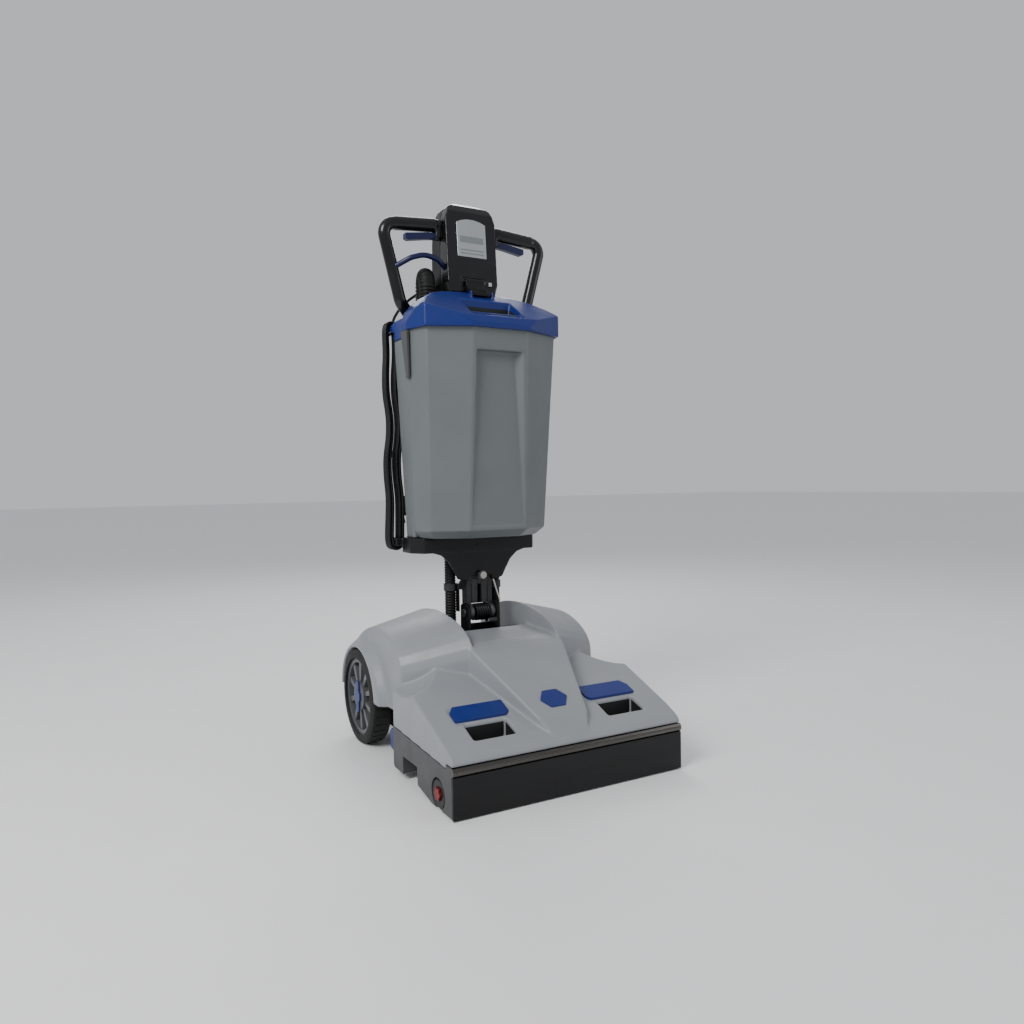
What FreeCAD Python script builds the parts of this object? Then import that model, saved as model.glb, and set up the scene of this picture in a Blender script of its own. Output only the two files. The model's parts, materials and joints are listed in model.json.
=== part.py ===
import FreeCAD, Part
import math
import os
import Sketcher

V = FreeCAD.Vector
doc = FreeCAD.newDocument("floor_scrubber")

# ---------------------------------------------------------------- driving dimensions, mm
# +X is the user's right, -Y the front, +Z up; the origin is the middle of the footprint.
DIMENSIONS = [
    ("body_width", 520), ("front_y", -325), ("shell", 4), ("play", 0.3),
    ("brush_radius", 30.5), ("core_radius", 18), ("brush_z", 31), ("front_brush_y", -257),
    ("rear_brush_y", -191), ("brush_left", -244), ("brush_right", 226), ("shaft_radius", 5),
    ("pulley_radius", 15), ("belt_x", 242), ("belt_width", 12), ("belt_thick", 2),
    ("lever_y", -22), ("lever_z", 82), ("drive_y", -150), ("drive_z", 130), ("motor_radius", 42),
    ("wheel_radius", 108), ("wheel_y", 205.5), ("rim_radius", 88), ("axle_radius", 8),
    ("slope", 0.4), ("slope_y", -282), ("slope_z", 127), ("hump_inner_x", 105), ("hump_outer_x", 240),
    ("tilt_y", 75), ("tilt_z", 300), ("tilt_radius", 6), ("lean_y", 93), ("lean_z", 387),
    ("lean_radius", 6), ("hose_radius", 13.5), ("hose_x", 58), ("hose_y", 112),
    ("cuff_low_z", 350), ("cuff_top_z", 366), ("tray_z", 442), ("tray_top_z", 477),
    ("latch_z", 1024.5), ("seam_lean", 0.072), ("tank_wall", 3),
    ("head_half", 63.5), ("head_bottom_z", 1036), ("head_split_y", 120), ("button_z", 1150),
    ("spine_half", 34), ("spine_front_y", 153), ("spine_rear_y", 175),
    ("grip_z", 1202), ("loop_y", 118), ("loop_radius", 14), ("grip_radius", 15.5),
    ("suction_radius", 19), ("suction_x", -104), ("suction_rear_x", -85), ("suction_top_z", 1078),
    ("cord_dia", 7), ("hook_x", -170), ("hook_top_z", 954), ("bar_y", 142), ("hook_low_z", 466),
]
sheet = doc.addObject("Spreadsheet::Sheet", "Sheet")
for row, (alias, number) in enumerate(DIMENSIONS, 1):
    sheet.set(f"A{row}", alias)
    sheet.set(f"B{row}", str(number))
    sheet.setAlias(f"B{row}", alias)
doc.recompute()


def cell(alias):
    """Number held by one named cell of the sheet."""
    return float(sheet.get(alias))


def bind(thing, **formulas):
    """Binds properties to formulas of the sheet; a bare word in a formula is a cell's alias."""
    for prop, formula in formulas.items():
        text = str(formula)
        for alias, _ in sorted(DIMENSIONS, key=lambda pair: -len(pair[0])):
            text = text.replace("@" + alias, "Sheet." + alias)
        thing.setExpression(prop.replace("__", "."), text)
    return thing


def place(thing, x=0, y=0, z=0):
    return bind(thing, Placement__Base__x=x, Placement__Base__y=y, Placement__Base__z=z)


def block(name, size, corner):
    """Box with formulas for its size and for its lowest corner."""
    box = bind(doc.addObject("Part::Box", name), Length=size[0], Width=size[1], Height=size[2])
    return place(box, *corner)


TURNS = {"x": FreeCAD.Rotation(V(0, 1, 0), 90), "y": FreeCAD.Rotation(V(1, 0, 0), -90),
         "z": FreeCAD.Rotation()}


def rod(name, axis, radius, length, start):
    """Cylinder that starts at a point and runs along +x, +y or +z."""
    piece = bind(doc.addObject("Part::Cylinder", name), Radius=radius, Height=length)
    piece.Placement = FreeCAD.Placement(V(), TURNS[axis])
    return place(piece, *start)


def joined(name, *pieces):
    fuse = doc.addObject("Part::MultiFuse", name)
    fuse.Shapes = list(pieces)
    fuse.Refine = True
    return fuse


def less(name, base, *tools):
    """Base with one or more tools cut away."""
    cut = doc.addObject("Part::Cut", name)
    cut.Base = base
    cut.Tool = tools[0] if len(tools) == 1 else joined(name + "_tools", *tools)
    return cut


def shared(name, *pieces):
    common = doc.addObject("Part::MultiCommon", name)
    common.Shapes = list(pieces)
    return common


def given(name, shape):
    """Free-form piece worked out with Part's own functions from the sheet's numbers."""
    piece = doc.addObject("Part::Feature", name)
    piece.Shape = shape
    return piece


PLANES = {"YZ": "YZ_Plane", "XZ": "XZ_Plane", "XY": "XY_Plane"}


def slab(name, plane, outline, depth, middle=0):
    """Body with one sketched outline padded by half its depth to each side of its plane.

    The outline is in world axes of that plane: (y, z), (x, z) or (x, y)."""
    body = doc.addObject("PartDesign::Body", name)
    sketch = body.newObject("Sketcher::SketchObject", name + "_outline")
    origin = [item for item in body.Origin.OriginFeatures if item.Role == PLANES[plane]][0]
    sketch.AttachmentSupport = [(origin, "")]
    sketch.MapMode = "FlatFace"
    corners = [V(a, b, 0) for a, b in outline]
    for start, end in zip(corners, corners[1:] + corners[:1]):
        sketch.addGeometry(Part.LineSegment(start, end), False)
    count = len(corners)
    for index in range(count):
        sketch.addConstraint(Sketcher.Constraint("Coincident", index, 2, (index + 1) % count, 1))
    pad = body.newObject("PartDesign::Pad", name + "_pad")
    pad.Profile = sketch
    pad.Midplane = True
    bind(pad, Length=depth)
    normal = {"YZ": "x", "XZ": "y", "XY": "z"}[plane]
    place(body, **{normal: middle})
    return body


def mirrored(name, source):
    """The same piece on the other side of the middle plane."""
    other = doc.addObject("Part::Mirroring", name)
    other.Source = source
    other.Normal = V(1, 0, 0)
    return other


NODES = {}


def node(name, piece):
    piece.Label = name
    NODES[name] = piece
    return piece


def both_sides(name, left):
    """Node pair: the left piece and its mirror image."""
    node(name + "_left", left)
    node(name + "_right", mirrored(name + "_right_copy", left))


def tube(points, radius, bends):
    """Solid tube along straight runs joined by tangent arcs; bends holds each arc's radius."""
    points = [V(*point) for point in points]
    edges = []
    start = points[0]
    for before, corner, after, bend in zip(points, points[1:], points[2:], bends):
        back = (before - corner).normalize()
        ahead = (after - corner).normalize()
        half = back.getAngle(ahead) / 2
        reach = bend / math.tan(half)
        first = corner + back * reach
        last = corner + ahead * reach
        inward = (back + ahead).normalize()
        crown = corner + inward * (bend / math.sin(half) - bend)
        if (first - start).Length > 1e-4:
            edges.append(Part.makeLine(start, first))
        edges.append(Part.Arc(first, crown, last).toShape())
        start = last
    edges.append(Part.makeLine(start, points[-1]))
    route = Part.Wire(edges)
    ring = Part.Wire(Part.makeCircle(radius, points[0], points[1] - points[0]))
    return route.makePipeShell([ring], True, False), route.Length


def loft(sections, ruled=True):
    return Part.makeLoft([Part.makePolygon(list(ring) + [ring[0]]) for ring in sections], True, ruled)


half_width = cell("body_width") / 2
front = cell("front_y")
slope_y, slope_z, slope = cell("slope_y"), cell("slope_z"), cell("slope")
wheel_y, wheel_r = cell("wheel_y"), cell("wheel_radius")


def hood_top(y):
    """Height of the hood's sloping top at a depth y."""
    return slope_z + slope * (y - slope_y)


# ---------------------------------------------------------------- hood: one moulded grey shell
SCOOP_RADIUS = 160
REAR_SKIRT_Z = 100
ARCH_Z = 115
RIDGE_END = 40
OPENING_HALF, OPENING_FRONT, OPENING_REAR = 78, 37, 155


def curve_polygon(points, steps):
    """Points along a smooth curve through the given ones."""
    curve = Part.BSplineCurve()
    curve.interpolate([V(*point) for point in points])
    return [curve.value(curve.FirstParameter + (curve.LastParameter - curve.FirstParameter) * i / steps)
            for i in range(steps + 1)]


def hump(inset):
    """Right-hand hump over wheel and motor; inset moves its faces inward for the hollow."""
    floor = 60 if inset else ARCH_Z
    sections = []
    for x, curve in (
        (cell("hump_inner_x") + inset, [(-105, 236), (-96, 262), (-66, 285), (-5, 304), (80, 313),
                                         (175, 303), (260, 262), (305, 205), (320, 125)]),
        (cell("hump_outer_x") - inset, [(-30, 202), (-24, 222), (0, 246), (40, 266), (100, 278),
                                         (175, 270), (250, 234), (300, 180), (318, 125)]),
    ):
        crest = curve_polygon([(x, y + inset * (1 if y < 80 else -1) * (abs(y - 80) > 60), z - inset * 1.1)
                               for y, z in curve], 24)
        sections.append([V(x, crest[0].y, floor)] + crest + [V(x, crest[-1].y, floor)])
    return loft(sections)


def fender():
    """Arch over the right wheel, wider ahead of the axle and tapering outward."""
    sections = []
    for x, ahead, rise, behind in ((224, 168, 142, 118), (240, 158, 136, 118), (259, 143, 119, 117)):
        ring = []
        for index in range(25):
            angle = math.pi * index / 24
            reach = ahead if angle < math.pi / 2 else behind
            ring.append(V(x, wheel_y - reach * math.cos(angle), ARCH_Z + (rise - 7) * math.sin(angle)))
        sections.append(ring)
    return loft(sections)


def wedge(inset):
    """Front slope with its lip over the bumper and its lower rear shoulders."""
    lip = [(-292, 87), (-292, 96), (-319, 96), (-320.5, 101), (-316, 108), (-305, 115)]
    if inset:
        lip = [(-310 + inset, 60), (-305 + inset, 115 - inset)]
    top = [(slope_y, hood_top(slope_y) - inset), (-32, hood_top(-32) - inset)]
    outline = lip + top + [(-32, 60 if inset else 99)]
    face = Part.Face(Part.makePolygon([V(-half_width + inset, y, z) for y, z in outline + outline[:1]]))
    solid = face.extrude(V(2 * (half_width - inset), 0, 0))
    for side in (-1, 1):
        solid = solid.cut(Part.makeSphere(SCOOP_RADIUS + inset, V(side * 290, -70, 168 + SCOOP_RADIUS)))
    return solid


def ridge(inset):
    """Raised middle that widens toward the neck."""
    foot_y = -290 if inset else -312
    side = [(foot_y, 60), (foot_y, 110), (-281, 144), (-112, 247), (-92, 256), (-70, 261), (10, 264),
            (RIDGE_END, 267), (RIDGE_END, 60)]
    face = Part.Face(Part.makePolygon([V(-200, y, z - inset * (z > 100) * 1.15) for y, z in side + side[:1]]))
    inner = cell("hump_inner_x")
    rear_half = inner if inset else inner + 7
    plan = [(-36, -313), (-57, -279), (-rear_half, -105), (-rear_half, RIDGE_END), (rear_half, RIDGE_END),
            (rear_half, -105), (57, -279), (36, -313)]
    shrink = (inner - inset) / inner
    spread = Part.Face(Part.makePolygon([V(x * shrink, y, 60) for x, y in plan + plan[:1]]))
    body = face.extrude(V(400, 0, 0)).common(spread.extrude(V(0, 0, 300)))
    return body if inset else body.cut(Part.makeBox(600, 700, 40, V(-300, -350, 59)))


def rear_deck(inset):
    """Low deck between the humps, behind the neck."""
    side = [(10, 60 if inset else REAR_SKIRT_Z), (10, 240), (190, 238), (270, 214), (312, 170), (322, 125),
            (322, 60 if inset else REAR_SKIRT_Z)]
    face = Part.Face(Part.makePolygon([V(-106, y - inset * (y > 200), z - inset * (z > 110))
                                       for y, z in side + side[:1]]))
    skirt = Part.makeBox(2 * (204 - inset), 348 - inset, 100,
                         V(-204 + inset, -33, 60 if inset else REAR_SKIRT_Z))
    return face.extrude(V(212, 0, 0)).fuse(skirt)


def hood_solid(inset):
    whole = wedge(inset)
    for part in (ridge(inset), rear_deck(inset), hump(inset), hump(inset).mirror(V(), V(1, 0, 0))):
        whole = whole.fuse(part)
    if not inset:
        whole = whole.fuse(fender()).fuse(fender().mirror(V(), V(1, 0, 0)))
    return whole


def wheel_pockets(radius, inner_x):
    pocket = Part.makeCylinder(radius, 80, V(inner_x, wheel_y, wheel_r), V(1, 0, 0))
    return pocket.fuse(pocket.mirror(V(), V(1, 0, 0)))


shell = cell("shell")
RECESS_X, RECESS_HALF, RECESS_FRONT, RECESS_REAR, RECESS_FLOOR = 151.7, 44.8, -281.7, -236.2, 104
PLATE_X, PLATE_FRONT, PLATE_REAR = 151, -229.6, -190


def recess(side, grow):
    return Part.makeBox(2 * (RECESS_HALF + grow), RECESS_REAR - RECESS_FRONT + 2 * grow, 90,
                        V(side * RECESS_X - RECESS_HALF - grow, RECESS_FRONT - grow, RECESS_FLOOR - grow))


def on_slope(outline, side, low, high):
    """Plate lying on the slope between two depths from its surface, outline in x and y."""
    ring = Part.makePolygon([V(side * PLATE_X + side * x, y, hood_top(y) + low)
                             for x, y in outline + outline[:1]])
    return Part.Face(ring).extrude(V(0, 0, high - low))


PLATE_OUTLINE = [(-59.5, -222), (-50, PLATE_FRONT), (59.5, PLATE_FRONT), (59.5, -205), (48, PLATE_REAR),
                 (-59.5, PLATE_REAR)]
SEAT_OUTLINE = [(-60.5, -236.2), (60.5, -236.2), (60.5, -187.5), (-60.5, -187.5)]

hollow = hood_solid(shell).cut(wheel_pockets(wheel_r + 10, 201))
for side in (-1, 1):
    hollow = hollow.cut(recess(side, shell))
    hollow = hollow.cut(on_slope(SEAT_OUTLINE, side, -8, 8))
hood_shape = hood_solid(0).cut(hollow).cut(wheel_pockets(wheel_r + 5, 206))
opening_corner = V(-OPENING_HALF, OPENING_FRONT, 150)
neck_opening = Part.makeBox(2 * OPENING_HALF, OPENING_REAR - OPENING_FRONT, 200, opening_corner)
hood_shape = hood_shape.cut(neck_opening)
for side in (-1, 1):
    hood_shape = hood_shape.cut(recess(side, 0)).cut(on_slope(SEAT_OUTLINE, side, -3, 30))
axle_way = Part.makeCylinder(cell("axle_radius") + 0.5, 600, V(-300, wheel_y, wheel_r), V(1, 0, 0))
node("hood", given("hood_shell", hood_shape.cut(axle_way)))

HEX_Y, HEX_HALF_X, HEX_HALF_Y = -244, 31, 19
hex_plan = [(-HEX_HALF_X, HEX_Y), (-16, HEX_Y - HEX_HALF_Y), (16, HEX_Y - HEX_HALF_Y), (HEX_HALF_X, HEX_Y),
            (16, HEX_Y + HEX_HALF_Y), (-16, HEX_Y + HEX_HALF_Y)]
ridge_rise = (247 - 144) / (281 - 112)
hex_ring = [V(x, y, 144 + ridge_rise * (y + 281)) for x, y in hex_plan]
node("badge", given("badge_plate", Part.Face(Part.makePolygon(hex_ring + hex_ring[:1])).extrude(V(0, 0, 3))))

for side, name in ((-1, "left"), (1, "right")):
    pin_start = V(side * PLATE_X - (59.5 if side > 0 else 47), PLATE_REAR, hood_top(PLATE_REAR))
    pin = Part.makeCylinder(2, 106.5, pin_start, V(1, 0, 0))
    node("hood_catch_" + name, given("catch_plate_" + name, on_slope(PLATE_OUTLINE, side, -2.7, 2.3).fuse(pin)))

# ---------------------------------------------------------------- chassis tub and bumper
tub_side = slab("tub_side", "YZ", [(-292, 4), (-227, 4), (-160, 16), (-158, 51), (-84, 51), (-84, 15),
                                   (-37, 15), (-32, 20), (-32, 99), (-292, 87)], "@body_width")
rear_frame = block("rear_frame", ("400", "310", "48"), (-200, -35, 47))
bearing_blocks = [block(f"bearing_{side}", (14, 32, 34), (x, "@wheel_y - 16", 92))
                  for side, x in (("left", -200), ("right", 186))]
lever_bosses = [block(f"lever_boss_{side}", (41, 20, 26), (x, -32, 70))
                for side, x in (("left", -241), ("right", 200))]
bumper_bar = slab("bumper_bar", "YZ", [(-316, 4), (-292, 4), (-292, 87), (-292, 95), (-316, 95)], "@body_width")
tub_body = joined("tub_body", tub_side, bumper_bar, rear_frame, *bearing_blocks, *lever_bosses)
brush_chamber = block("brush_chamber", (474, 130.5, 66), (-246, -289, -1))
inner_deck = block("inner_deck", (496, 246, 60), (-250, -280, 70))
rear_well = block("rear_well", (384, 288, 60), (-192, -30, 53))
mid_well = block("mid_well", (496, 113, 60), (-250, -150, 55))
under_gap = block("under_gap", (450, 130, 60), (-225, -157.9, -9))
belt_bay = slab("belt_bay", "YZ", [(-285, 7), (-227, 7), (-161, 18.5), (-160, 55), (-40, 55), (-40, 110),
                                   (-285, 110)], 20, 242)
cap_hole = rod("cap_hole", "x", 30, 20, (-262, "@front_brush_y", "@brush_z"))
end_holes = [rod(f"end_hole_{label}", "x", "@shaft_radius + 0.05", length, (x, f"@{label}_brush_y", "@brush_z"))
             for label, x, length in (("front", 220, 20), ("rear", 220, 20))]
rear_bush_hole = rod("rear_bush_hole", "x", "@shaft_radius + 0.05", 8, (-253, "@rear_brush_y", "@brush_z"))
lever_holes = [rod(f"lever_hole_{side}", "x", 3.55, 36, (x, "@lever_y", "@lever_z"))
               for side, x in (("left", -244), ("right", 208))]
axle_hole = rod("axle_hole", "x", "@axle_radius", 420, (-210, "@wheel_y", "@wheel_radius"))
under_tools = less("under_tools", under_gap, block("gap_roof", (450, 131, 20), (-225, -158.4, 51)))
node("chassis_tub", less("tub", tub_body, brush_chamber, inner_deck, rear_well, mid_well, under_tools,
                         belt_bay, cap_hole, *end_holes, rear_bush_hole, axle_hole, *lever_holes))

node("bumper_flap", slab("flap", "YZ", [(-323, 3), (-319, 1), (-316, 3), (-316, 79), (-323, 79)],
                         "@body_width"))
STRIP_OUTLINE = [(-316, 79.3), (-321, 79.8), (-323.6, 83), (-324.4, 87.5), (-323.6, 92), (-321, 95.5), (-316, 95.5)]
strip = slab("strip", "YZ", STRIP_OUTLINE, "@body_width")
rivets = [rod(f"rivet_{index}", "y", 3, 3, (x, -325, 87)) for index, x in enumerate(range(-250, 251, 100))]
node("bumper_strip", joined("riveted_strip", strip, *rivets))
node("rear_squeegee", joined("squeegee", block("squeegee_bar", (440, 6, 20), (-220, -157, 31)),
                             block("squeegee_blade", (440, 3, 30), (-220, -155.5, 1))))


def side_lever():
    """Blue lever low on the left rear corner of the base, with its pin."""
    plate = slab("lever_plate", "YZ", [(-31, 50), (-24, 46), (-9, 50), (-9, 84), (-16, 90), (-25, 90),
                                       (-30, 84)], 16, -249.5)
    return joined("lever", plate, rod("lever_pin", "x", 3.5, 38, (-250, "@lever_y", "@lever_z")))


both_sides("side_lever", side_lever())

# ---------------------------------------------------------------- brushes and their drive
FLUTES = 14
for label in ("front", "rear"):
    y = f"@{label}_brush_y"
    core = rod(f"{label}_core", "x", "@core_radius", "@brush_right - @brush_left",
               ("@brush_left", y, "@brush_z"))
    shaft = rod(f"{label}_shaft", "x", "@shaft_radius", "250 + 252", (-252, y, "@brush_z"))
    pulley = rod(f"{label}_pulley", "x", "@pulley_radius", 14, (235, y, "@brush_z"))
    node(f"brush_{label}_core", joined(f"{label}_roller", core, shaft, pulley))
    sleeve = less(f"{label}_sleeve",
                  rod(f"{label}_pile", "x", "@brush_radius", "@brush_right - @brush_left - 8",
                      ("@brush_left + 4", y, "@brush_z")),
                  rod(f"{label}_bore", "x", "@core_radius", 520, (-260, y, "@brush_z")))
    centre_y = cell(f"{label}_brush_y")
    grooves = [Part.makeBox(500, 2.4, 8, V(-250, -1.2, 24.5)) for _ in range(FLUTES)]
    for index, groove in enumerate(grooves):
        groove.rotate(V(), V(1, 0, 0), 360 / FLUTES * index + 360 / FLUTES / 2)
        groove.translate(V(0, centre_y, cell("brush_z")))
    node(f"brush_{label}_bristles",
         less(f"{label}_bristles", sleeve, given(f"{label}_grooves", Part.makeCompound(grooves))))

cap = joined("cap_body", rod("cap_disc", "x", 29.6, 8, (-256, "@front_brush_y", "@brush_z")),
             rod("cap_rim", "x", 26, 3, (-259, "@front_brush_y", "@brush_z")))
node("brush_cap", less("cap", cap, rod("cap_bore", "x", "@shaft_radius + 0.05", 10,
                                       (-253, "@front_brush_y", "@brush_z")),
                       rod("knob_seat", "x", 13.3, 3.9, (-262, "@front_brush_y", "@brush_z")),
                       rod("knob_bore", "x", 3.55, 12, (-262, "@front_brush_y", "@brush_z"))))
knob_arms = [rod(f"knob_lobe_{index}", "x", 3.2, 4.7,
                 (-263, f"@front_brush_y + {9.5 * math.cos(index * math.pi / 3):.3f}",
                  f"@brush_z + {9.5 * math.sin(index * math.pi / 3):.3f}")) for index in range(6)]
node("brush_knob", joined("knob", rod("knob_disc", "x", 9.5, 4.7, (-263, "@front_brush_y", "@brush_z")),
                          rod("knob_stem", "x", 3.5, 9.5, (-263, "@front_brush_y", "@brush_z")), *knob_arms))

motor = joined("motor_body", rod("motor_can", "x", "@motor_radius", 120, (100, "@drive_y", "@drive_z")),
               block("motor_foot", (90, 26, 34), (115, "@drive_y - 34", 70)))
node("brush_motor", less("motor", motor, rod("motor_bore", "x", 5.05, 60, (200, "@drive_y", "@drive_z"))))
drive_disc = rod("drive_disc", "x", "@pulley_radius", 14, (235, "@drive_y", "@drive_z"))
node("drive_pulley", joined("drive_wheel", drive_disc, rod("motor_shaft", "x", 5, 45, (204, "@drive_y", "@drive_z"))))


def belt_loop(radius):
    """Convex loop around the three pulleys, as a face at the belt's left edge."""
    x = cell("belt_x") - cell("belt_width") / 2
    centres = [V(x, cell("drive_y"), cell("drive_z")), V(x, cell("front_brush_y"), cell("brush_z")),
               V(x, cell("rear_brush_y"), cell("brush_z"))]
    edges = []
    touches = []
    for here, there in zip(centres, centres[1:] + centres[:1]):
        outward = (there - here).cross(V(1, 0, 0)).normalize()
        touches.append((here + outward * radius, there + outward * radius))
    middle = (centres[0] + centres[1] + centres[2]) * (1 / 3)
    if (touches[0][0] - middle).Length < (centres[0] * 2 - touches[0][0] - middle).Length:
        touches = [(here * 2 - a, there * 2 - b) for (a, b), here, there
                   in zip(touches, centres, centres[1:] + centres[:1])]
    for index, centre in enumerate(centres):
        came = touches[index - 1][1]
        goes = touches[index][0]
        bulge = ((came - centre) + (goes - centre)).normalize() * radius + centre
        edges.append(Part.Arc(came, bulge, goes).toShape())
        edges.append(Part.makeLine(goes, touches[index][1]))
    return Part.Face(Part.Wire(Part.__sortEdges__(edges)))


inner_radius = cell("pulley_radius") + cell("play")
belt = belt_loop(inner_radius + cell("belt_thick")).cut(belt_loop(inner_radius))
node("drive_belt", given("belt_band", belt.extrude(V(cell("belt_width"), 0, 0))))

node("suction_motor", joined("suction_fan", rod("fan_can", "z", 44, 70, (-146, 20, 53)),
                             rod("fan_motor", "z", 34, 60, (-146, 20, 123)),
                             rod("fan_inlet", "z", 20, 12, (-146, 20, 183))))

# ---------------------------------------------------------------- wheels
node("wheel_axle", rod("axle", "x", "@axle_radius", 508, (-254, "@wheel_y", "@wheel_radius")))


def wheel_rim():
    """Right rim: dished disc with hub and ten raised ribs."""
    shape = Part.makeCylinder(cell("rim_radius"), 30, V(214, 0, 0), V(1, 0, 0))
    shape = shape.cut(Part.makeCylinder(78, 12, V(235, 0, 0), V(1, 0, 0)))
    shape = shape.cut(Part.makeCylinder(78, 12, V(211, 0, 0), V(1, 0, 0)))
    shape = shape.fuse(Part.makeCylinder(34, 44, V(210, 0, 0), V(1, 0, 0)))
    shape = shape.fuse(Part.makeCylinder(cell("rim_radius"), 8, V(244, 0, 0), V(1, 0, 0))
                       .cut(Part.makeCylinder(78, 8, V(244, 0, 0), V(1, 0, 0))))
    rib = loft([[V(232, -4, 30), V(250, -4, 30), V(250, 4, 30), V(232, 4, 30)],
                [V(232, -7, 79), V(249, -7, 79), V(249, 7, 79), V(232, 7, 79)]])
    for index in range(10):
        spoke = rib.copy()
        spoke.rotate(V(), V(1, 0, 0), 36 * index)
        shape = shape.fuse(spoke)
    shape = shape.cut(Part.makeCylinder(cell("axle_radius") + 0.05, 60, V(205, 0, 0), V(1, 0, 0)))
    shape.translate(V(0, wheel_y, wheel_r))
    return shape


def wheel_tyre():
    """Right tyre: round-shouldered ring with shallow tread grooves."""
    ring = [(210, 92), (213, 106), (217, 108), (251, 108), (255, 106), (258, 98), (258, 88), (210, 88)]
    face = Part.Face(Part.makePolygon([V(x, 0, r) for x, r in ring + ring[:1]]))
    shape = face.revolve(V(), V(1, 0, 0), 360)
    groove = Part.makeBox(30, 3, 4, V(219, -1.5, 106.4))
    grooves = []
    for index in range(36):
        cut = groove.copy()
        cut.rotate(V(), V(1, 0, 0), 10 * index + 5)
        grooves.append(cut)
    shape = shape.cut(Part.makeCompound(grooves))
    shape.translate(V(0, wheel_y, wheel_r))
    return shape


for name, maker in (("wheel_rim", wheel_rim), ("wheel_tyre", wheel_tyre)):
    right = node(name + "_right", given(name + "_shape", maker()))
    node(name + "_left", mirrored(name + "_left_copy", right))
hub_cap = joined("hub_cap_body", rod("cap_face", "x", 16, 3.5, (254.3, "@wheel_y", "@wheel_radius")),
                 block("cap_bar", (3.5, 18, 70), (254.3, "@wheel_y - 9", "@wheel_radius - 35")))
node("hub_cap_right", hub_cap)
node("hub_cap_left", mirrored("hub_cap_left_copy", hub_cap))

# ---------------------------------------------------------------- neck: tilt and lean pivots
TILT = ("@tilt_y", "@tilt_z")
CHEEK_OUTLINE = [(40, 53), (150, 53), (150, 120), (98, 250), (96, 316), (84, 322), (66, 322), (54, 312),
                 (52, 250), (40, 120)]
cheek = less("neck_cheek", slab("neck_plate", "YZ", CHEEK_OUTLINE, 6, -37),
             rod("cheek_hole", "x", "@tilt_radius", 40, (-60, *TILT)))
node("neck_cheeks", joined("neck_cheek_pair", cheek, mirrored("neck_cheek_right", cheek)))
node("tilt_shaft", rod("tilt_pin", "x", "@tilt_radius", 86, (-43, *TILT)))


def torsion_spring():
    """Black coil spring between the two grey rollers, wound round the tilt shaft."""
    turns, wire, ring, pitch = 6, 2.8, 17.3, 5.9
    helix = Part.makeHelix(pitch, pitch * turns, ring)
    profile = Part.Wire(Part.makeCircle(wire, V(ring, 0, 0), V(0, 1, 0)))
    coil = Part.Wire(helix.Edges).makePipeShell([profile], True, True)
    coil.rotate(V(), V(0, 1, 0), 90)
    coil.translate(V(-pitch * turns / 2, cell("tilt_y"), cell("tilt_z")))
    return coil


node("tilt_spring", given("spring_coil", torsion_spring()))
hubs = [rod(f"hub_{label}", "x", 17, 12, (x, *TILT)) for label, x in (("left", -33), ("right", 21))]
arms = [block(f"arm_{label}", (12, 25, 70), (x, "@tilt_y + 1.5", "@tilt_z + 5")) for label, x in
        (("left", -33), ("right", 21))]
link_head = block("link_head", (66, 34, 40), (-33, "@lean_y - 17 ", "@lean_z - 22"))
link_bore = rod("link_bore", "x", "@tilt_radius + 0.05", 90, (-45, *TILT))
lean_bore = rod("lean_bore", "y", "@lean_radius", 60, (0, "@lean_y - 30", "@lean_z"))
dampers = [rod(f"damper_{label}", "z", 8.5, 55, (x, "@tilt_y + 5", 322))
           for label, x in (("left", -12), ("right", 12))]
link_web = block("link_web", (44, 8, 52), (-22, 93.5, 318))
cuffs = []
for side, label in ((-1, "left"), (1, "right")):
    cuffs.append(rod(f"cuff_ring_{label}", "z", "@hose_radius + 2", "@cuff_top_z - @cuff_low_z",
                     (f"{side} * @hose_x", "@hose_y", "@cuff_low_z")))
    cuffs.append(block(f"cuff_web_{label}", (16, 22, 14), (side * 37 - 8, "@hose_y - 12", "@cuff_low_z + 1")))
    cuffs.append(block(f"cuff_root_{label}", (10, 12, 19), (side * 30 - 5, "@hose_y - 12", "@cuff_low_z + 1")))
node("neck_link", less("neck_fork", joined("fork_body", *hubs, *arms, link_web, link_head, *dampers,
                                               *cuffs), link_bore, lean_bore))
bolt_shank = rod("lean_shank", "y", "@lean_radius", 68, (0, "@lean_y - 34", "@lean_z"))
bolt_head = rod("lean_head", "y", 8, 6, (0, "@lean_y - 40", "@lean_z"))
bolt_nut = rod("lean_nut", "y", 10, 7, (0, "@lean_y + 27.3", "@lean_z"))
node("lean_bolt", joined("lean_bolt_body", bolt_shank, bolt_head, bolt_nut))
lock_rod, _ = tube([(33.05, 90, 379), (41, 90, 379), (60, 90, 318)], 3, [5])
node("lock_rod", given("lock_rod_bar", lock_rod))

# ---------------------------------------------------------------- corrugated hoses of the neck


def corrugated(start, end, radius, pitch):
    """Solid of a ribbed hose between two points, as a stack of rings along its axis."""
    start, end = V(*start), V(*end)
    length = (end - start).Length
    count = int(length / pitch)
    step = length / count
    ring = [V(0, 0, 0), V(radius - 1.8, 0, 0)]
    for index in range(count):
        ring += [V(radius, 0, step * (index + 0.3)), V(radius, 0, step * (index + 0.7)),
                 V(radius - 1.8, 0, step * (index + 1))]
    ring.append(V(0, 0, length))
    solid = Part.Face(Part.makePolygon(ring + ring[:1])).revolve(V(), V(0, 0, 1), 360)
    solid.Placement = FreeCAD.Placement(start, FreeCAD.Rotation(V(0, 0, 1), end - start))
    return solid


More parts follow.
